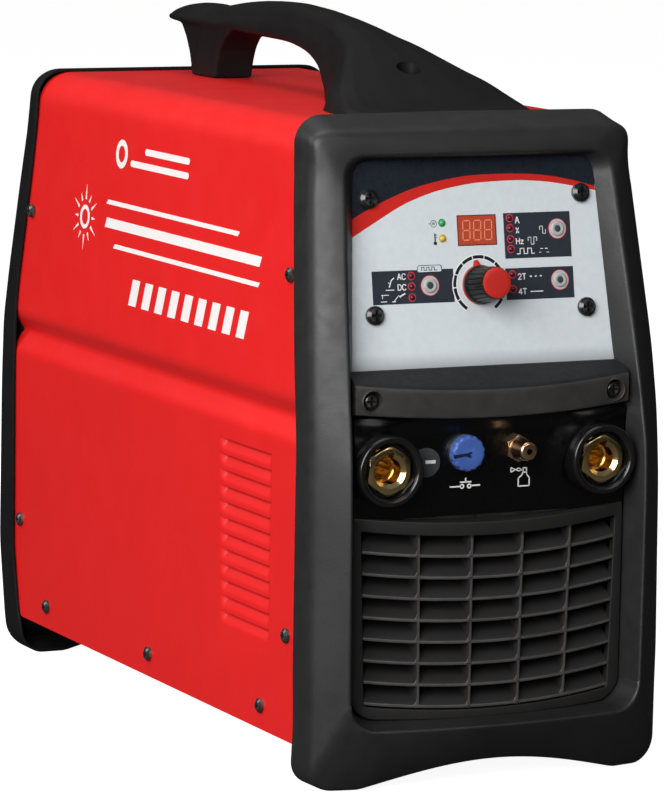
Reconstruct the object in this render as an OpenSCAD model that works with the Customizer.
// Portable AC/DC TIG welding power source.
// Millimetres, +Z up, front faces -Y, +X to the right seen from the front.
// Origin: on the floor, under the middle of the whole machine's box.

/* [Case] */
// Half width of the sheet steel cover at its lower part
cover_hw = 95.5; // [95:0.25:96]
// Thickness of the cover sheet
sheet_t = 1.2; // [1.0:0.1:1.2]
// Height of the cover top above the floor
cover_top = 324.3; // [324:0.1:324.5]
// Corner radius between cover side and cover top
cover_r = 18; // [14:1:20]
// Number of louvres in each side of the cover
vent_count = 12; // [8:1:12]
// Pitch of the louvres
vent_pitch = 8; // [7:0.5:8]
// Height of the arch under the front bezel
arch_h = 11.5; // [8:0.5:12]

/* [Front] */
// Control panel lean back from vertical, degrees
lean = 9.37; // [9:0.1:10]
// Distance of each weld socket from the middle
socket_x = 58.8; // [57:0.1:59]
// Height of the weld sockets above the floor
socket_z = 158; // [156:0.5:160]
// Bore of the weld sockets
socket_bore = 13.2; // [13:0.1:13.5]
// Outer diameter of the socket collars
collar_d = 34.7; // [34:0.1:35]
// Number of louvre columns in the front grille
grille_cols = 5; // [4:1:6]
// Number of louvre rows in the front grille
grille_rows = 8; // [6:1:8]

/* [Controls] */
// Diameter of the setting knob at its skirt
knob_d = 19; // [17:0.5:19]
// Height of the setting knob in front of the panel
knob_h = 19; // [17:0.5:20]
// Radial running clearance of turning and sliding fits
fit_gap = 0.06; // [0.05:0.01:0.1]
// Button shaft diameter
button_d = 4; // [3.5:0.1:4]

/* [Cooling] */
// Fan frame side
fan_side = 119; // [119:0.5:120]
// Number of fan blades
fan_blades = 7; // [5:1:9]

/* [Hidden] */
NODES = ["front_bezel","rear_bezel","cover","cover_screws","base_tray","front_frame","rear_panel",
 "handle","handle_screws","connector_fascia","crossbar","crossbar_screws","control_plate",
 "panel_film","panel_screws","display_window","display_module","leds_red","led_green",
 "led_yellow","button_process","button_parameter","button_trigger","button_switches","knob_body",
 "knob_cap","knob_pointer","knob_shaft","encoder_body","control_board","socket_collars",
 "socket_minus","socket_plus","polarity_badge","trigger_connector","trigger_cap","gas_outlet",
 "front_grille","fan_frame","fan_rotor","fan_guard","fan_screws","switch_body","switch_knob",
 "cable_gland","mains_cord","gas_inlet","solenoid_valve","solenoid_plunger","gas_hoses",
 "power_board","heatsink_primary","heatsink_secondary","power_modules","capacitors",
 "transformer_core","transformer_winding","output_choke","hf_coil","busbars"];
node = "all";

$fn = 48;
front_y = -193.2;       // case datum (y = 0 in case coordinates) to origin
panel_z = 205.3;        // bottom edge of the control panel
panel_y = 3.9;
rear_y = 362.5;         // inner face of the rear panel
rear_t = 1.5;
rear_shift = rear_y - 372;  // shift of everything fixed to the rear panel
seat_gap = 0.02;        // gap between parts that seat on each other

// Places seen from the front, [x, z]
middle = [0, 0];
sockets = [for (side = [-1, 1]) [side * socket_x, socket_z]];
bar_screws = [for (side = [-1, 1]) [side * 66.8, 191.8]];
trigger_at = [-14.4, 164];
gas_out_at = [14.6, 164.7];
fan_z = 108;
fan_corners = [for (x = [-52.5, 52.5]) for (z = [-52.5, 52.5]) [x, z]];  // from the fan axis
switch_at = [-38, 217];
cord_at = [38, 222];
gas_in_at = [10, 190];

// Places seen from the side, [y, z]
bottom_screws = [for (y = [52.8, 192.2, 332.9]) [y, 32.5]];
side_screws = [[34.5, 249.7], [24, 73], [369.5, 248], [372.5, 75.2]];
handle_screw_y = [92.5, 320];

// ---------- frames and shared shapes ----------
module at() translate([0, front_y, 0]) children();
module at_rear() at() translate([0, rear_shift, 0]) children();
module at_fan() at_rear() translate([0, 0, fan_z]) children();
// frame of the leaning panel: x right, y up along it, z outward
module on_panel() translate([0, front_y + panel_y, panel_z]) rotate([90 - lean, 0, 0]) children();
module both() {
  children();
  mirror([1, 0, 0]) children();
}
module box(corner, size) translate(corner) cube(size);

// shapes along +Y, starting at y, on the spot p = [x, z]
module y_at(p, y) translate([p[0], y, p[1]]) rotate([-90, 0, 0]) children();
module y_cyl(p, y, d, h) y_at(p, y) cylinder(d = d, h = h);
module y_cone(p, y, d1, d2, h) y_at(p, y) cylinder(d1 = d1, d2 = d2, h = h);
module y_hex(p, y, d, h, turn = 0)
  y_at(p, y) rotate([0, 0, turn]) cylinder(d = d, h = h, $fn = 6);

// an [x, z] outline swept between two y
module y_extrude(from, to)
  translate([0, to, 0]) rotate([90, 0, 0]) linear_extrude(to - from) children();
// a [y, z] outline swept to both sides of the middle
module x_extrude(half)
  translate([-half, 0, 0]) rotate([90, 0, 90]) linear_extrude(2 * half) children();

// holes through both case sides at [y, z] spots
module side_holes(spots, d, from = 80, h = 20)
  both() for (p = spots) translate([from, p[0], p[1]]) rotate([0, 90, 0]) cylinder(d = d, h = h);

// cross recess pan head screw along +Z, underside of the head at z = 0
module pan_screw(head_d, head_h, shank_d, shank_l) {
  difference() {
    union() {
      cylinder(d = head_d, h = head_h * 0.55);
      translate([0, 0, head_h * 0.55 - 0.01])
        cylinder(d1 = head_d, d2 = head_d * 0.62, h = head_h * 0.45);
    }
    for (r = [0, 90]) rotate([0, 0, r])
      box([-head_d * 0.27, -head_d * 0.06, head_h * 0.4], [head_d * 0.54, head_d * 0.12, head_h]);
  }
  translate([0, 0, -shank_l]) cylinder(d = shank_d, h = shank_l + 0.01);
}

// faces between neighbouring sections of size points; count sections, spans gaps between them
function skin(count, size, spans) =
  [for (i = [0:spans - 1]) for (j = [0:size - 1])
    let (next = ((i + 1) % count) * size, k = (j + 1) % size,
         a = i * size + j, b = i * size + k, c = next + k, d = next + j)
    each [[a, b, c], [a, c, d]]];

// closed ring of closed sections
module ring_loft(loop) {
  count = len(loop);
  polyhedron(points = [for (s = loop) for (p = s) p],
    faces = skin(count, len(loop[0]), count), convexity = 8);
}
// row of closed sections with flat ends
module open_loft(rings) {
  count = len(rings);
  size = len(rings[0]);
  last = (count - 1) * size;
  polyhedron(points = [for (r = rings) for (p = r) p],
    faces = concat(skin(count, size, count - 1),
      [for (j = [1:size - 2]) [0, j + 1, j]],
      [for (j = [1:size - 2]) [last, last + j, last + j + 1]]),
    convexity = 6);
}

// ---------- bezels ----------
// Profiles of both bezels: [height, value]
OUTER_X = [[0,90],[13,97],[60,97.9],[150,97.6],[183,96.9],[212,95.5],[250,92.8],[297,89.3],
  [306,88.6]];
// front bezel: rear edge y, crown y, opening rim x and y, inner wall end x and y
FRONT_EDGE_Y = [[0,16],[30,11.5],[160,12.5],[178,14],[305,39],[330,39]];
FRONT_CROWN_Y = [[0,-5],[60,-4.8],[145,-3],[183,-0.6],[212,3.1],[226,5.6],[250,10.3],[297,19.1],
  [306,19.8]];
RIM_X = [[30,79.8],[60,80.3],[137,81],[165,81],[211,79.1],[250,77.1],[280,75.1],[300,74]];
RIM_Y = [[30,-17.5],[45,-18.5],[137,-18.4],[165,-17.4],[211,-8],[250,1.3],[280,8.3],[300,13.1],
  [309,15.2]];
WALL_X = [[30,74.5],[60,75],[137,75.6],[190,75.8],[206,74.4],[250,71.6],[300,68.6]];
WALL_Y = [[30,-5.5],[185,-5.5],[203,1.5],[206,2.6],[309,19.5]];
// rear bezel: front edge y, outermost y
REAR_EDGE_Y = [[0,366],[14,368],[24,373],[60,380],[160,380.7],[203,380.7],[269,372.6],[300,370],
  [330,369]];
REAR_OUT_Y = [[0,386],[12,393.5],[60,400],[188,399],[201,396.5],[264,388],[302,382],[330,379]];

// stations of the right half: x along the bottom, z up the side, x along the top
bottom_xs = [15, 30, 44, 58, 71, 84];
side_zs = [46, 80, 110, 137, 160, 178, 195, 212, 232, 254, 276, 290];
top_xs = [62, 50, 36, 18];
foot_x = 84;            // centre and radius of the rounded foot corner
foot_r = 13;
wall_bottom_z = 34.8;

function arch_z(x) = x > 70 ? 0 : arch_h * cos(90 * x / 71);
function flipped(section) = [for (p = section) [-p[0], p[1], p[2]]];
// whole loop from the bottom middle section, the right half and the top middle section
function whole_loop(bottom, half, top) =
  concat([bottom], half, [top], [for (i = [len(half) - 1:-1:0]) flipped(half[i])]);

// one section of the front bezel: outer edge [ox, oz], opening rim [rx, rz],
// inner wall end [ix, iz]
function front_section(ox, oz, rx, rz, ix, iz, top = false) =
  let (
    low = oz < 12,
    lift = top ? 1 : low ? -1 : 0,
    level = top || low,
    in_arch = low && abs(ox) < foot_x,
    side = ox < 0 ? -1 : 1,
    spread = abs(ox) < 1 ? 0 : side,
    outer_bow = 1 - pow(min(1, abs(ox) / 92), 2),
    rim_bow = 1 - pow(min(1, abs(rx) / 80), 2),
    top_rise = (oz - 305) / 22.3,
    edge_y = lookup(oz, FRONT_EDGE_Y),
    mid_z = top ? oz - 1.4 * top_rise : oz,
    crown_x = ox - side * 0.5,
    crown_y = top ? 19 - 3 * outer_bow : low ? -5 - 11 * outer_bow : lookup(oz, FRONT_CROWN_Y),
    crown_z = top ? oz - 6.5 * top_rise : low ? oz + 2 : oz,
    rim_y = lookup(rz, RIM_Y) - (rz > 290 ? 4 : 9) * rim_bow,
    wall_y = lookup(iz, WALL_Y)
  )
  [[ox, edge_y, oz],
   [ox, edge_y * 0.55 + crown_y * 0.45, mid_z],
   [crown_x, crown_y, crown_z],
   [rx, rim_y, rz],
   [ix, wall_y, iz],
   [ix + spread * (level ? 0.6 : 2.2), wall_y, iz + 2 * lift],
   [rx + spread * (level ? 0.4 : 2.2), rim_y + 3.6, rz + 1.6 * lift],
   [crown_x - (in_arch ? 0 : side * 1.2), crown_y + 3, crown_z - (top ? 1.9 : low ? -2.4 : 0)],
   [ox - (in_arch ? 0 : side * 1.4), edge_y,
    oz - (top ? 1.8 * min(1, (oz - 305) / 15) : low ? -1.8 : 0)]];

front_half = concat(
  [for (x = bottom_xs) front_section(x, arch_z(x), x * 0.8, 31.5, x * 0.75, wall_bottom_z)],
  [for (a = [-75:25:0])
    front_section(foot_x + foot_r * cos(a), foot_r + foot_r * sin(a),
      66.5 + 13.3 * cos(a), 45 + 13.5 * sin(a), 62.5 + 12.5 * cos(a), 45.6 + 10.8 * sin(a))],
  [for (z = side_zs)
    front_section(lookup(z, OUTER_X), z, lookup(z, RIM_X), z, lookup(z, WALL_X), z)],
  [for (a = [5:20:85])
    front_section(74.6 + 14 * cos(a), 313.3 + 14 * sin(a),
      58 + 15.8 * cos(a), 293.5 + 15 * sin(a), 54.5 + 14 * cos(a), 292 + 14 * sin(a), true)],
  [for (x = top_xs)
    front_section(x, 327.3 + 0.4 * (1 - x / 62), x * 0.86, 308.5, x * 0.82, 306, true)]);

module front_bezel() color([0.13, 0.13, 0.14]) at()
  ring_loft(whole_loop(front_section(0, arch_h, 0, 31.5, 0, wall_bottom_z), front_half,
    front_section(0, 327.7, 0, 308.5, 0, 306, true)));

// one section of the rear bezel: outer edge [ox, oz], opening rim [rx, rz]
function rear_section(ox, oz, rx, rz, top = false) =
  let (
    low = oz < 12,
    lift = top ? 1 : low ? -1 : 0,
    in_arch = low && abs(ox) < foot_x,
    side = ox < 0 ? -1 : 1,
    spread = abs(ox) < 1 ? 0 : side,
    round_in = abs(ox) > 84 ? side * 3 : 0,
    edge_y = lookup(oz, REAR_EDGE_Y),
    out_y = lookup(oz, REAR_OUT_Y),
    seat_y = rear_y + 1.55
  )
  [[ox, edge_y, oz],
   [ox, out_y - 4, oz - (top ? 0.5 : 0)],
   [ox - round_in, out_y, oz - (top ? 3.5 : low ? -3 : 0)],
   [rx, lookup(rz, REAR_OUT_Y), rz],
   [rx, seat_y, rz],
   [rx + spread * (top || low ? 0.4 : 2.2), seat_y, rz + 2 * lift],
   [ox - (in_arch ? 0 : side * (oz > 165 && oz < 200 ? 9.6 : 4)), out_y - 4.6,
    oz - (top ? 5.5 : low ? -5 : 0)],
   [ox - (in_arch ? 0 : side * 1.5), edge_y + 2.6, oz - 1.84 * lift],
   [ox - (in_arch ? 0 : side * 1.4), edge_y, oz - 1.8 * lift]];

rear_half = concat(
  [for (x = bottom_xs) rear_section(x, arch_z(x), x * 0.8, 24)],
  [for (a = [-75:25:0])
    rear_section(foot_x + foot_r * cos(a), foot_r + foot_r * sin(a),
      70.5 + 13.5 * cos(a), 37.5 + 13.5 * sin(a))],
  [for (z = side_zs) rear_section(lookup(z, OUTER_X), z, lookup(z, OUTER_X) - 13.5, z)],
  [for (a = [5:20:85])
    rear_section(73 + 16 * cos(a), 310.2 + 16 * sin(a),
      60 + 15 * cos(a), 296 + 15 * sin(a), true)],
  [for (x = top_xs) rear_section(x, 326.2, x * 0.9, 311, true)]);

// mirrored so that the faces point outward
module rear_bezel() color([0.12, 0.12, 0.13]) at() mirror([1, 0, 0])
  ring_loft(whole_loop(rear_section(0, arch_h, 0, 24), rear_half,
    rear_section(0, 326.2, 0, 311, true)));

// ---------- sheet steel cover ----------
side_slope = 0.07;      // the upper sides lean inward by this ratio
vent_y = 45;
vent_len = 61;
vent_z = 72;
vent_in = 2.6;          // depth the louvres are pressed in

function cover_x(z, inset) = cover_hw - inset - (z < 180 ? 0 : 0.6 + (z - 189.5) * side_slope);
function cover_half(inset) = concat(
  [[cover_hw - inset, 20.2], [cover_hw - inset, 170.5 - inset * 0.2],
   [cover_hw - 6.5 - inset, 180.5], [cover_x(189.5, inset), 189.8 + inset * 0.2]],
  [for (a = [6:12:90])
    [cover_x(cover_top - cover_r, 0) - cover_r + (cover_r - inset) * cos(a),
     cover_top - cover_r + (cover_r - inset) * sin(a)]]);
function cover_outline(inset) = let (half = cover_half(inset))
  concat(half, [for (i = [len(half) - 1:-1:0]) [-half[i][0], half[i][1]]]);

// front and rear limits of the cover, [y, z]
cover_ends = [[8,19],[8,178],[33.5,305],[36.8,322],[37,330],[371,330],[371.8,300],[374.4,269],
  [382.4,203],[382.4,60],[376,30],[373,19]];

module louvre_slab(y, h, root_x, root_z)
  translate([0, y, 0]) rotate([-90, 0, 0]) linear_extrude(h)
    polygon([[cover_hw - root_x, root_z], [cover_hw - (root_x < 0.1 ? vent_in : root_x), 0.8],
      [cover_hw - vent_in - 1.1, 0.8], [cover_hw - sheet_t - 0.1, 6.25]]);
// one inward pressed louvre blade with closed ends, open along its top edge
module louvre() {
  louvre_slab(vent_y, vent_len, 0.02, 6.25);
  for (y = [vent_y, vent_y + vent_len - 1.4]) louvre_slab(y, 1.4, 0.6, 6.2);
}
module cover_shell() intersection() {
  difference() {
    y_extrude(0, 390) polygon(cover_outline(0));
    translate([0, 0, -seat_gap]) y_extrude(-1, 391) polygon(cover_outline(sheet_t));
    box([-200, -1, 0], [400, 400, 20.4]);
    box([-(cover_hw - sheet_t), -1, 19], [2 * (cover_hw - sheet_t), 400, 10]);
  }
  x_extrude(120) polygon(cover_ends);
}
module cover() color([0.83, 0.14, 0.13]) at() difference() {
  union() {
    difference() {
      cover_shell();
      both() for (i = [0:vent_count - 1])
        box([cover_hw - 2, vent_y + 1, vent_z + i * vent_pitch - 6], [4, vent_len - 2, 6]);
    }
    both() for (i = [0:vent_count - 1]) translate([0, 0, vent_z + i * vent_pitch]) louvre();
  }
  side_holes(concat(bottom_screws, side_screws), 5.2);
  for (y = handle_screw_y) translate([0, y, 315]) cylinder(d = 6.6, h = 15);
}
module cover_screws() color([0.25, 0.25, 0.26]) at() both()
  for (p = concat(bottom_screws, side_screws))
    translate([cover_x(p[1], 0) + (p[1] > 190 ? 0.42 : seat_gap), p[0], p[1]])
      rotate([0, 90, 0]) pan_screw(7.4, 2.4, 4.8, 6);

// ---------- chassis ----------
module base_tray() color([0.62, 0.64, 0.66]) at() difference() {
  union() {
    box([-80, 18, 16], [160, 343, 1.5]);
    box([-78, 4, 16], [156, 15, 1.5]);
    box([-78, 360, 16], [156, 7.4, 1.5]);
    both() {
      box([78.5, 18, 16], [1.5, 343, 6.1]);
      box([78.5, 18, 20.6], [15.7, 343, 1.5]);
      box([92.7, 18, 20.6], [1.5, 343, 25.4]);
    }
  }
  side_holes(bottom_screws, 5);
  for (x = [-60:20:60]) for (y = [150:12:306]) box([x - 6, y, 10], [12, 4, 10]);
}
// steel frame behind the front mouldings
module front_frame() color([0.6, 0.62, 0.64]) at() difference() {
  union() {
    box([-90, 16, 17.6], [180, 1.5, 112]);
    box([-90, 16, 128.1], [180, 1.5, 41]);
    box([-87, 16, 168], [174, 1.5, 22]);
    both() box([88.5, 16, 46.2], [5.2, 14, 123]);
    both() box([84.5, 16, 188], [3.5, 30, 74]);
    box([-88, 16, 188], [176, 1.5, 9]);
    both() box([81, 28, 197], [4.02, 18, 90]);
  }
  box([-66, 10, 40], [132, 12, 84]);
  for (p = sockets) y_cyl(p, 10, 23.6, 10);
  y_cyl(trigger_at, 10, 16, 10);
  y_cyl(gas_out_at, 10, 12, 10);
  for (p = bar_screws) y_cyl(p, 10, 4.3, 10);
  side_holes(side_screws, 5);
}
module rear_panel() color([0.62, 0.63, 0.65]) at() difference() {
  union() {
    difference() {
      y_extrude(rear_y, rear_y + rear_t) polygon(cover_outline(sheet_t + 0.4));
      box([-100, rear_y - 10, 10], [200, 20, 12]);
    }
    // side flanges: flat below, following the cover above
    both() box([92.4, rear_y, 50], [1.5, 15.5, 105]);
    both() intersection() {
      y_extrude(rear_y, rear_y + 12) difference() {
        polygon(cover_outline(sheet_t + 0.4));
        polygon(cover_outline(sheet_t + 1.9));
      }
      box([60, 300, 215], [60, 100, 60]);
    }
  }
  translate([0, 0, fan_z]) {
    y_cyl(middle, 350, 112, 20);
    for (p = fan_corners) y_cyl(p, 350, 4.4, 20);
  }
  y_cyl(switch_at, 350, 24.4, 30);
  y_cyl(cord_at, 350, 20.4, 30);
  y_cyl(gas_in_at, 350, 11.2, 30);
  side_holes(side_screws, 5, 70, 30);
}

// ---------- handle ----------
// stations: [y, crown z, edge half width, edge z, foot half width, underside z]
handle_stations = [
  [39.6,327.7,37,327.2,44,324.5], [47,328.3,42,327.3,48.5,324.5], [54,329,45.5,327.8,50,324.5],
  [62,331.2,47.5,329,51.5,324.5], [75,337,45,333.5,52,324.5], [86,342,40.5,338.5,50.5,324.5],
  [96,346.5,35,342.5,47,324.5], [106,350.7,29.5,346.8,41.5,324.5], [121,356.6,21.5,353,33,324.5],
  [134,360.3,16.6,356.2,26.2,324.5], [144,362.7,14.2,358.6,21.7,324.6],
  [152,364.3,12.8,360.2,18.8,327.6], [158,365.3,11.8,361.3,17.3,331.6],
  [164,366.2,11.2,362.2,16,336.6], [172,367.1,10.4,363.1,14.6,340.6],
  [186,368.7,9.4,364.4,12.9,345], [201,369.7,8.9,365.3,12,347.8], [220,370.5,8.6,366,11.6,349.8],
  [256,369.4,8.6,365,11.8,350.6], [285,367,9,362.8,12.2,351.2], [306,364.2,9.5,360.6,12.8,351.2],
  [315,363.3,10,359.8,13.2,351.4], [324,364,10.5,360,13.8,351.8],
  [342,363.5,11.5,359.4,14.8,352.2], [356,361.9,11,358.4,14.2,352.6],
  [367,359.4,9,357,11.6,353], [374,357.2,6,356,7.4,353.6], [378,355.8,2.5,355.2,3,354.2]];
// outline of the rear leg, [y, z]
handle_leg = [[336,324.5],[337,330],[339,336],[343.7,344],[349,350],[352,354.5],[280,354.5],
  [286,350.5],[294,346],[299.5,340],[303,332],[305,324.5]];
head_seat_z = 333;      // seat of the front screw head

function handle_ring(station) =
  let (
    y = station[0], crown_z = station[1], edge_x = station[2],
    edge_z = station[3], base_x = station[4], base_z = station[5],
    round_z = min(3, (edge_z - base_z) * 0.25),
    round_x = min(4, base_x * 0.4),
    half = [
      [0, base_z],
      [base_x - round_x, base_z],
      [base_x - round_x * 0.3, base_z + round_z * 0.35],
      [base_x, base_z + round_z],
      [base_x * 0.55 + edge_x * 0.45 + 0.8, (edge_z + base_z) / 2 + 0.6],
      [edge_x + 0.5, edge_z - 0.4],
      [edge_x * 0.86, edge_z + (crown_z - edge_z) * 0.42],
      [edge_x * 0.45, edge_z + (crown_z - edge_z) * 0.86],
      [0, crown_z]]
  )
  concat([for (p = half) [p[0], y, p[1]]], [for (i = [7:-1:1]) [-half[i][0], y, half[i][1]]]);

module handle() color([0.14, 0.14, 0.15]) at() difference() {
  union() {
    open_loft([for (s = handle_stations) handle_ring(s)]);
    x_extrude(11.5) polygon(handle_leg);
  }
  translate([0, handle_screw_y[0], 320]) cylinder(d = 6.6, h = 40);
  translate([0, handle_screw_y[0], head_seat_z]) cylinder(d = 12.4, h = 40);
  translate([0, handle_screw_y[1], 320]) cylinder(d = 5.2, h = 18);
}
// the front screw is driven from above, the rear one from below
module handle_screws() color([0.35, 0.35, 0.36]) at() {
  translate([0, handle_screw_y[0], head_seat_z + seat_gap]) pan_screw(11, 3.6, 6, 20);
  translate([0, handle_screw_y[1], 322.6]) mirror([0, 0, 1]) pan_screw(9, 2.6, 5, 14);
}

// ---------- front mouldings ----------
grille_hw = 70;         // half width of the louvre field
grille_z = 44.2;
grille_h = 85.4;
slat_t = 1.4;

// [x, y] outline of a strip whose front bows forward by bow from side_y at x = bow_hw
function band(hw, side_y, bow, bow_hw, depth, steps) =
  let (front = [for (i = [0:steps]) let (x = -hw + 2 * hw * i / steps)
    [x, side_y - bow * (1 - pow(x / bow_hw, 2))]])
  concat(front, [for (i = [steps:-1:0]) front[i] + [0, depth]]);

module front_grille() color([0.1, 0.1, 0.11]) at() {
  col_pitch = 2 * grille_hw / grille_cols;
  row_pitch = grille_h / grille_rows;
  difference() {
    intersection() {
      translate([0, 0, 35.2]) linear_extrude(97.3) polygon(band(74.2, -5.4, 8.6, 72, 4, 20));
      y_extrude(-30, 10) {
        polygon([[-74.1, 47], [-62.2, 47], [-62.2, 35.2], [62.2, 35.2], [62.2, 47], [74.1, 47],
          [74.1, 140], [-74.1, 140]]);
        for (side = [-1, 1]) translate([side * 62.2, 47.1]) circle(r = 11.9);
      }
    }
    for (c = [0:grille_cols - 1]) for (r = [0:grille_rows - 1])
      box([-grille_hw + c * col_pitch + 1, -30, grille_z + r * row_pitch + slat_t],
        [col_pitch - 2, 60, row_pitch - slat_t]);
  }
  for (r = [0:grille_rows - 1]) translate([0, 0, grille_z + r * row_pitch])
    linear_extrude(slat_t) polygon(band(grille_hw, -1.6, 8.6, 72, 6, 20));
  for (c = [1:grille_cols - 1])
    box([-grille_hw - 1 + c * col_pitch, -10, grille_z], [2, 12, grille_h]);
}
module crossbar() color([0.11, 0.11, 0.12]) at() difference() {
  intersection() {
    translate([0, 0, 183]) linear_extrude(22) polygon(band(74.2, -7.4, 7, 75, 12.8, 24));
    x_extrude(80) polygon([[-30, 183.4], [-30, 197], [-13, 199.6], [-7, 200.6], [1.8, 204.6],
      [8, 204.6], [8, 183.4]]);
  }
  for (p = bar_screws) {
    y_cyl(p, -20, 10.2, 15.2);
    y_cyl(p, -6, 4.3, 20);
  }
}
module crossbar_screws() color([0.1, 0.1, 0.1]) at() for (p = bar_screws)
  translate([p[0], -4.82, p[1]]) rotate([90, 0, 0]) pan_screw(8.4, 2.6, 4, 23);
module connector_fascia() color([0.12, 0.12, 0.13]) at() difference() {
  union() {
    box([-74.8, -4, 132.6], [149.6, 3, 50.7]);
    for (p = sockets) y_cyl(p, -1.5, 38, 8);
    box([30, -7, 172], [24, 3.5, 6]);
    box([-54, -7, 176], [20, 3.5, 5]);
  }
  for (p = sockets) {
    y_cyl(p, -20, 30.2, 40);
    y_cyl(p, -20, collar_d + 0.4, 15.99);
  }
  y_cyl(trigger_at, -20, 14.2, 40);
  y_cyl(gas_out_at, -20, 10.2, 40);
  for (p = bar_screws) y_cyl(p, -10, 4.3, 20);
}
module socket_collars() color([0.1, 0.1, 0.11]) at() for (p = sockets) difference() {
  union() {
    y_cyl(p, -15.3, collar_d, 8.3);
    y_cyl(p, -7.1, 33, 3.09);
    y_cyl(p, -4.1, 30, 12);
  }
  y_cyl(p, -16, 27.4, 8.2);
  y_cyl(p, -9, 22.3, 20);
}
// weld socket: hexagonal front, keyway above the bore, stud at the rear
module socket(p) color([0.78, 0.6, 0.28]) at() difference() {
  union() {
    y_hex(p, -12.6, 25.4, 4.75, 30);
    y_cyl(p, -8, 22.2, 38);
    y_cyl(p, 29.9, 12, 12);
  }
  y_cyl(p, -13, socket_bore, 36);
  y_cone(p, -12.61, 17.2, socket_bore, 1.8);
  box([p[0] - 2.1, -13, p[1]], [4.2, 14, 9.2]);
}
module socket_minus() socket(sockets[0]);
module socket_plus() socket(sockets[1]);
module polarity_badge() color([0.3, 0.31, 0.33]) at() difference() {
  y_cyl([-35.1, 159.9], -5.2, 14.4, 1.18);
  y_cyl(sockets[0], -10, collar_d + 0.2, 12);
  box([-36, -6, 159.3], [5.6, 1.3, 1.8]);
}
module trigger_connector() color([0.5, 0.5, 0.52]) at() {
  pin_r = 3.2;
  difference() {
    union() {
      y_cyl(trigger_at, -7.8, 14, 18.3);
      y_cyl(trigger_at, -6, 18, 1.98);
      y_cyl(trigger_at, -0.98, 18, 3);
    }
    y_cyl(trigger_at, -10, 11, 12);
  }
  for (a = [0:72:359]) y_cyl(trigger_at + pin_r * [cos(a), sin(a)], -6, 1.2, 9);
}
module trigger_cap() color([0.25, 0.4, 0.72]) at() difference() {
  y_cyl(trigger_at, -10.6, 18, 4.5);
  y_cyl(trigger_at, -8.6, 14 + 2 * fit_gap, 3);
  box([trigger_at[0] - 9.5, -11.1, trigger_at[1] - 1.1], [7, 1.4, 2.2]);
}
module gas_outlet() color([0.75, 0.56, 0.34]) at() difference() {
  union() {
    y_hex(gas_out_at, -7.4, 13.8, 3.38, 30);
    y_cyl(gas_out_at, -8.6, 10.8, 1.3);
    y_cyl(gas_out_at, -17, 9.6, 8.5);
    y_cone(gas_out_at, -18.3, 7.4, 9.6, 1.31);
    y_cyl(gas_out_at, -5, 10, 22);
    y_cyl(gas_out_at, 16.9, 6, 12);
    y_hex(gas_out_at, -0.98, 13.8, 4);
  }
  y_cyl(gas_out_at, -25, 3.2, 60);
}

// ---------- control panel ----------
// places on the panel, [x, y] from its bottom middle
panel_screw_spots = [[-58.6, 83.3], [58.6, 83.3], [-58.6, 26.5], [58.6, 26.5]];
red_spots = [[18.4, 71.8], [18.4, 66.8], [18.4, 61.4], [18.4, 56.5], [18.4, 44], [18.4, 36.7],
  [-37.4, 45.1], [-37.4, 40], [-37.4, 34.6]];
green_spot = [-19, 70.5];
yellow_spot = [-19, 62.8];
button_spots = [[-27.4, 40.1], [44.8, 65.8], [44.8, 40.4]];
knob_spot = [0, 39.5];
display_spot = [0, 66.4];
screw_hole_d = 4.3;
button_hole_d = 7.2;
led_d = 3;
shaft_d = 4;            // encoder shaft
nut_clear_d = 13.8;     // clearance around the encoder nut

module on_spot(p, z) translate([p[0], p[1], z]) children();
module at_knob(z = 0) on_panel() on_spot(knob_spot, z) children();
module display_box(size, z)
  box([display_spot[0] - size[0] / 2, display_spot[1] - size[1] / 2, z], size);

module panel_shape(inset) polygon([[-73.6 + inset, inset], [73.6 - inset, inset],
  [70.4 - inset, 55], [68 - inset, 86], [65.5 - inset, 96], [58 - inset, 101.5 - inset],
  [-58 + inset, 101.5 - inset], [-65.5 + inset, 96], [-68 + inset, 86], [-70.4 + inset, 55]]);
// sheet of the panel's shape with all openings
module panel_sheet(z, thickness, inset) difference() {
  translate([0, 0, z]) linear_extrude(thickness) panel_shape(inset);
  for (p = concat(red_spots, [green_spot, yellow_spot])) on_spot(p, -30)
    cylinder(d = led_d + 0.1, h = 60);
  for (p = button_spots) on_spot(p, -30) cylinder(d = button_hole_d, h = 60);
  for (p = panel_screw_spots) on_spot(p, -30) cylinder(d = screw_hole_d, h = 60);
  on_spot(knob_spot, -5) cylinder(d = 7.3, h = 10);
  display_box([20.6, 14.4, 10], -5);
}
module control_plate() color([0.84, 0.85, 0.86]) on_panel() panel_sheet(-2.3, 2, 0);
module panel_film() color([0.12, 0.14, 0.18]) on_panel() panel_sheet(-0.28, 0.28, 0.4);
module panel_screws() color([0.08, 0.08, 0.08]) on_panel()
  for (p = panel_screw_spots) on_spot(p, seat_gap) pan_screw(9.4, 3, 4, 9);
module display_window() color([0.7, 0.2, 0.12]) on_panel() display_box([20.5, 14.3, 2.3], -2.2);
module display_module() color([0.15, 0.05, 0.05]) on_panel() display_box([22.4, 14, 7], -9.5);

module led(p) on_spot(p, 0) {
  translate([0, 0, -9.5]) cylinder(d = led_d, h = 9.3);
  translate([0, 0, -0.25]) difference() {
    sphere(d = led_d, $fn = 24);
    box([-3, -3, -3], [6, 6, 3]);
  }
  translate([0, 0, -9.5]) cylinder(d = 3.8, h = 1);
}
module leds_red() color([0.85, 0.1, 0.08]) on_panel() for (p = red_spots) led(p);
module led_green() color([0.2, 0.8, 0.3]) on_panel() led(green_spot);
module led_yellow() color([0.9, 0.75, 0.15]) on_panel() led(yellow_spot);

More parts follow.
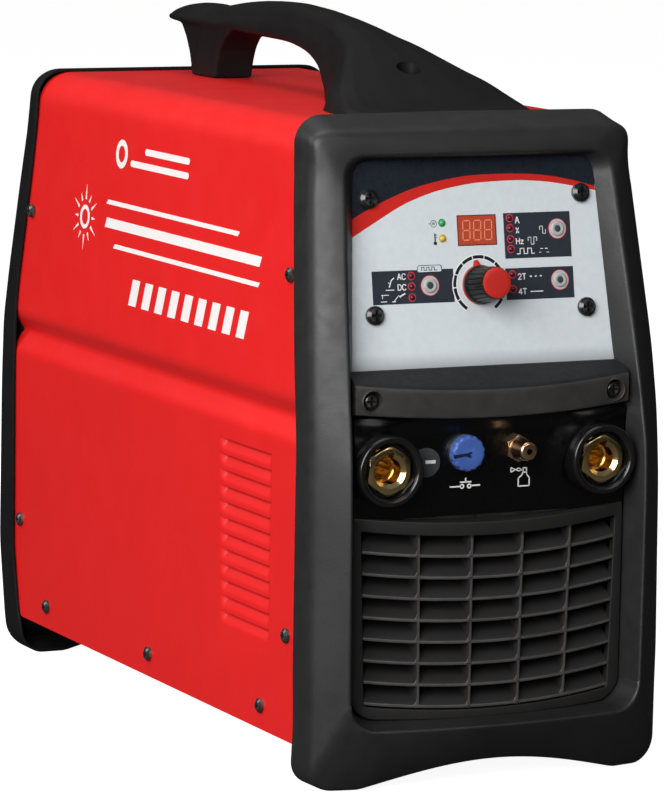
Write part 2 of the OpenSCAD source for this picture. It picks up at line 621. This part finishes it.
// push button: stem, collar behind the plate, cap proud of the film
module push_button(p) on_panel() on_spot(p, 0) {
  translate([0, 0, -7.4]) cylinder(d = button_d, h = 6);
  translate([0, 0, -4.6]) cylinder(d = 8.6, h = 1.2);
  translate([0, 0, -3.4]) cylinder(d = button_hole_d - 2 * fit_gap, h = 5);
}
module button_process() color([0.85, 0.82, 0.82]) push_button(button_spots[0]);
module button_parameter() color([0.85, 0.82, 0.82]) push_button(button_spots[1]);
module button_trigger() color([0.85, 0.82, 0.82]) push_button(button_spots[2]);
module button_switches() color([0.12, 0.12, 0.12]) on_panel()
  for (p = button_spots) on_spot(p, 0) difference() {
    box([-3.5, -3.5, -13], [7, 7, 4.6]);
    translate([0, 0, -9.5]) cylinder(d = button_d + 1, h = 4);
  }
module control_board() color([0.1, 0.35, 0.2]) on_panel() difference() {
  box([-62, 2, -14.7], [124, 84, 1.6]);
  on_spot(knob_spot, -20) cylinder(d = 7.4, h = 10);
  for (p = panel_screw_spots) on_spot(p, -20) cylinder(d = screw_hole_d, h = 10);
}
module encoder_body() color([0.55, 0.55, 0.57]) at_knob() difference() {
  union() {
    box([-6.5, -6.5, -13.05], [13, 13, 7]);
    translate([0, 0, -6.1]) cylinder(d = 7, h = 8.1);
    translate([0, 0, 0.05]) cylinder(d = 11.5, h = 2, $fn = 6);
  }
  translate([0, 0, -12]) cylinder(d = shaft_d + 2 * fit_gap, h = 30);
}
module knob_shaft() color([0.7, 0.7, 0.72]) at_knob(-11.5) cylinder(d = shaft_d, h = 24.5);
module knob_body() color([0.07, 0.07, 0.08]) at_knob() difference() {
  union() {
    translate([0, 0, 0.9]) cylinder(d = knob_d, h = 2.6);
    translate([0, 0, 3.49]) cylinder(d1 = knob_d - 1.4, d2 = knob_d - 3, h = knob_h - 5.5);
  }
  for (a = [0:20:359]) rotate([0, 0, a])
    translate([knob_d / 2 - 0.3, 0, 4]) cylinder(d = 1.5, h = knob_h);
  cylinder(d = nut_clear_d, h = 3.2);
  cylinder(d = shaft_d + 0.04, h = 13.02);
}
module knob_cap() color([0.8, 0.16, 0.12]) at_knob(knob_h - 2) {
  cylinder(d = knob_d - 3.3, h = 1.4);
  translate([0, 0, 1.39]) cylinder(d1 = knob_d - 3.3, d2 = knob_d - 4.5, h = 0.6);
}
module knob_pointer() color([0.8, 0.15, 0.12]) at_knob(0.15) difference() {
  union() {
    cylinder(d = 20.6, h = 0.7);
    rotate([0, 0, 8]) translate([0, 9.6, 0]) cylinder(d = 5, h = 0.7);
  }
  translate([0, 0, -1]) cylinder(d = nut_clear_d, h = 5);
}

// ---------- rear: fan, switch, mains cord, gas ----------
fan_y = 346.5;          // front of the fan frame
fan_shaft_d = 4;
spindle_d = 8;          // switch spindle
cord_d = 9;
cord_bend_r = 18;
nut_y = 373.55;         // nuts seated on the outside of the rear panel
valve_y = 343;
plunger_d = 7;

module fan_frame() color([0.09, 0.09, 0.1]) at_fan() difference() {
  union() {
    difference() {
      box([-fan_side / 2, fan_y, -fan_side / 2], [fan_side, 25.4, fan_side]);
      y_cyl(middle, 340, fan_side - 4, 40);
    }
    y_cyl(middle, fan_y, 40, 2.4);
    for (a = [45:90:359]) rotate([0, a, 0]) box([18, fan_y, -3], [42, 2.4, 6]);
    y_cyl(middle, 348, 8, 9);
  }
  y_cyl(middle, 349.6, fan_shaft_d + 2 * fit_gap, 12);
  for (p = fan_corners) y_cyl(p, 340, 4.4, 40);
}
module fan_rotor() color([0.13, 0.13, 0.14]) at_fan() {
  difference() {
    y_cyl(middle, 350.5, 38, 19);
    y_cyl(middle, 350, 34, 17);
  }
  y_cyl(middle, 349.8, fan_shaft_d, 18);
  for (a = [0:360 / fan_blades:359]) rotate([0, a, 0])
    translate([18.6, 360, 0]) rotate([38, 0, 0]) box([0, -9, -0.7], [36, 18, 1.4]);
}
module fan_guard() color([0.7, 0.71, 0.73]) at_fan() y_at(middle, 373.6) {
  for (r = [12:10:52]) rotate_extrude() translate([r, 1]) circle(d = 1.8, $fn = 16);
  for (a = [45, 135]) rotate([0, 0, a]) box([-52, -0.9, 1.6], [104, 1.8, 1.6]);
  for (p = fan_corners) difference() {
    hull() {
      on_spot(p, 0) cylinder(d = 9, h = 1.4);
      on_spot(p * 0.74, 0) cylinder(d = 5, h = 1.4);
    }
    on_spot(p, -1) cylinder(d = 4.4, h = 5);
  }
}
module fan_screws() color([0.5, 0.5, 0.5]) at_fan()
  for (p = fan_corners) y_at(p, 375.05) pan_screw(7.6, 2.6, 4, 28);
module switch_body() color([0.1, 0.1, 0.1]) at_rear() difference() {
  union() {
    y_cyl(switch_at, 345, 24, 29.5);
    box([-62, 321, 193], [48, 24.02, 48]);
    box([-62, 373.52, 193], [48, 3, 48]);
    y_cyl(switch_at, 374, 30, 5);
  }
  y_cyl(switch_at, 350, spindle_d + 2 * fit_gap, 40);
  y_cyl(switch_at, 350, 12, 14);
}
module switch_knob() color([0.75, 0.12, 0.1]) at_rear() {
  y_cyl(switch_at, 362, spindle_d, 17.2);
  y_cyl(switch_at, 379.1, 28, 6);
  box([switch_at[0] - 4, 385, switch_at[1] - 13.5], [8, 11, 27]);
}
module cable_gland() color([0.1, 0.1, 0.1]) at_rear() difference() {
  union() {
    y_cyl(cord_at, 358, 20, 22);
    y_hex(cord_at, nut_y, 29, 6);
    y_cyl(cord_at, 379, 23, 9);
    y_cone(cord_at, 387.9, 22, 14, 6);
    y_hex(cord_at, 366, 28, 5.95);
  }
  y_cyl(cord_at, 350, cord_d + 0.1, 60);
}
// cord out of the gland, bent down, with three wire ends
module mains_cord() color([0.08, 0.08, 0.08]) at_rear() {
  bend_y = 400;
  drop_y = bend_y + cord_bend_r;
  y_cyl(cord_at, 330, cord_d, 70);
  translate([cord_at[0], bend_y, cord_at[1] - cord_bend_r]) rotate([0, -90, 0]) intersection() {
    rotate_extrude() translate([cord_bend_r, 0]) circle(d = cord_d);
    box([0, 0, -20], [40, 40, 40]);
  }
  translate([cord_at[0], drop_y, 120]) cylinder(d = cord_d, h = 84.01);
  for (a = [0:120:359])
    translate([cord_at[0] + 2 * cos(a), drop_y + 2 * sin(a), 108]) cylinder(d = 2.6, h = 12.01);
}
module gas_inlet() color([0.78, 0.62, 0.35]) at_rear() difference() {
  union() {
    y_cyl(gas_in_at, 356, 11, 22);
    y_hex(gas_in_at, nut_y, 18.4, 5);
    y_hex(gas_in_at, 367, 18.4, 4.95);
    y_cyl(gas_in_at, 378, 8, 20);
    y_cone(gas_in_at, 397.99, 8, 6.4, 1.5);
  }
  y_cyl(gas_in_at, 350, 5, 60);
}
module solenoid_valve() color([0.6, 0.5, 0.3]) at_rear() difference() {
  union() {
    box([-2, 330, 178], [24, 26, 24]);
    box([-1, 332, 201.9], [22, 22, 26]);
    y_cyl(gas_in_at, 324, 10, 7);
  }
  y_cyl(gas_in_at, 320, 4, 16);
  y_cyl(gas_in_at, 350, 5, 10);
  translate([gas_in_at[0], valve_y, 186]) cylinder(d = plunger_d + 2 * fit_gap, h = 34);
}
module solenoid_plunger() color([0.7, 0.7, 0.72]) at_rear()
  translate([gas_in_at[0], valve_y, 186.2]) cylinder(d = plunger_d, h = 28);
// rubber hose from the valve to the front outlet, with a coupling sleeve at each end
module gas_hoses() color([0.12, 0.13, 0.14]) at() {
  start = [gas_out_at[0], 52, gas_out_at[1]];
  run = [gas_in_at[0], 300, gas_in_at[1]] - start;
  length = norm(run);
  difference() {
    y_cyl(gas_out_at, 17.2, 9, 20);
    y_cyl(gas_out_at, 16, 6.06, 13);
  }
  y_cyl(gas_out_at, 36, 13, 22);
  translate(start) rotate([-90 + asin(run[2] / length), 0, -atan2(run[0], run[1])])
    cylinder(d = 8.4, h = length);
  y_cyl(gas_in_at, 293, 13, 324 + rear_shift - 293.02);
}

// ---------- power electronics ----------
// power modules: centres [x, y], terminals to each side in x
module_spots = [for (x = [-35, 35]) for (y = [160, 205, 250, 295]) [x, y]];
terminal_spots = [for (p = module_spots) for (side = [-1, 1]) p + [side * 12, 0]];

module heatsink(x) color([0.75, 0.76, 0.78]) at() difference() {
  box([x, 130, 25], [62, 200, 82]);
  for (i = [0:6]) box([x + 3 + i * 8.3, 120, 22], [6, 220, 76]);
}
module heatsink_primary() heatsink(-66);
module heatsink_secondary() heatsink(4);
module power_modules() color([0.12, 0.12, 0.13]) at() {
  for (p = module_spots) box([p[0] - 19, p[1] - 13, 107.02], [38, 26, 11]);
  for (p = terminal_spots) on_spot(p, 118) cylinder(d = 7, h = 4);
}
module power_board() color([0.1, 0.3, 0.18]) at() difference() {
  union() {
    box([-78, 120, 122.1], [156, 210, 1.8]);
    for (x = [-72, 72]) for (y = [128, 322]) {
      translate([x, y, 46]) cylinder(d = 8, h = 76.2, $fn = 6);
      translate([x, y, 17.6]) cylinder(d = 8, h = 28.5, $fn = 6);
    }
  }
  for (p = terminal_spots) on_spot(p, 121) cylinder(d = 4, h = 5);
}
module capacitors() color([0.16, 0.2, 0.34]) at()
  for (x = [-50, -8, 34]) translate([x, 285, 123.95]) cylinder(d = 35, h = 50);
module transformer_core() color([0.22, 0.21, 0.2]) at() difference() {
  box([-62, 44, 19], [62, 34, 66]);
  for (x = [-48, -26]) box([x, 40, 33], [12, 44, 38]);
}
module transformer_winding() color([0.72, 0.42, 0.2]) at() difference() {
  box([-47.5, 34, 33.5], [33, 54, 37]);
  box([-36.2, 43.8, 30], [10.4, 34.4, 50]);
}
module output_choke() color([0.7, 0.42, 0.18]) at() {
  ring_r = 22;
  y_at([38, 55], 62) rotate_extrude() translate([ring_r, 0]) circle(d = 20);
  for (a = [0:20:359]) translate([38, 62, 55]) rotate([0, a, 0]) translate([ring_r, 0, 0])
    rotate_extrude() translate([10.6, 0]) circle(d = 2.6, $fn = 16);
  box([20, 56, 19], [36, 12, 4]);
}
module hf_coil() color([0.75, 0.45, 0.22]) at() translate([-32, 92, 158]) {
  cylinder(d = 24, h = 44);
  for (i = [0:5]) translate([0, 0, 5 + i * 6.6])
    rotate_extrude() translate([13, 0]) circle(d = 5, $fn = 20);
  translate([0, 0, -1.5]) cylinder(d = 38, h = 2);
  box([-30, -10, -4], [60, 20, 2.6]);
}
module busbars() color([0.78, 0.46, 0.26]) at() for (p = sockets) difference() {
  union() {
    box([p[0] - 9, 33, 143], [18, 3, 26]);
    box([p[0] - 9, 33, 128], [18, 3, 16]);
    box([p[0] - 9, 33, 126], [18, 117, 3]);
  }
  y_cyl(p, 30, 12.1, 10);
}

function shown(name) = node == "all" || node == name;
if (shown("front_bezel")) front_bezel();
if (shown("rear_bezel")) rear_bezel();
if (shown("cover")) cover();
if (shown("cover_screws")) cover_screws();
if (shown("base_tray")) base_tray();
if (shown("front_frame")) front_frame();
if (shown("rear_panel")) rear_panel();
if (shown("handle")) handle();
if (shown("handle_screws")) handle_screws();
if (shown("connector_fascia")) connector_fascia();
if (shown("crossbar")) crossbar();
if (shown("crossbar_screws")) crossbar_screws();
if (shown("control_plate")) control_plate();
if (shown("panel_film")) panel_film();
if (shown("panel_screws")) panel_screws();
if (shown("display_window")) display_window();
if (shown("display_module")) display_module();
if (shown("leds_red")) leds_red();
if (shown("led_green")) led_green();
if (shown("led_yellow")) led_yellow();
if (shown("button_process")) button_process();
if (shown("button_parameter")) button_parameter();
if (shown("button_trigger")) button_trigger();
if (shown("button_switches")) button_switches();
if (shown("knob_body")) knob_body();
if (shown("knob_cap")) knob_cap();
if (shown("knob_pointer")) knob_pointer();
if (shown("knob_shaft")) knob_shaft();
if (shown("encoder_body")) encoder_body();
if (shown("control_board")) control_board();
if (shown("socket_collars")) socket_collars();
if (shown("socket_minus")) socket_minus();
if (shown("socket_plus")) socket_plus();
if (shown("polarity_badge")) polarity_badge();
if (shown("trigger_connector")) trigger_connector();
if (shown("trigger_cap")) trigger_cap();
if (shown("gas_outlet")) gas_outlet();
if (shown("front_grille")) front_grille();
if (shown("fan_frame")) fan_frame();
if (shown("fan_rotor")) fan_rotor();
if (shown("fan_guard")) fan_guard();
if (shown("fan_screws")) fan_screws();
if (shown("switch_body")) switch_body();
if (shown("switch_knob")) switch_knob();
if (shown("cable_gland")) cable_gland();
if (shown("mains_cord")) mains_cord();
if (shown("gas_inlet")) gas_inlet();
if (shown("solenoid_valve")) solenoid_valve();
if (shown("solenoid_plunger")) solenoid_plunger();
if (shown("gas_hoses")) gas_hoses();
if (shown("power_board")) power_board();
if (shown("heatsink_primary")) heatsink_primary();
if (shown("heatsink_secondary")) heatsink_secondary();
if (shown("power_modules")) power_modules();
if (shown("capacitors")) capacitors();
if (shown("transformer_core")) transformer_core();
if (shown("transformer_winding")) transformer_winding();
if (shown("output_choke")) output_choke();
if (shown("hf_coil")) hf_coil();
if (shown("busbars")) busbars();
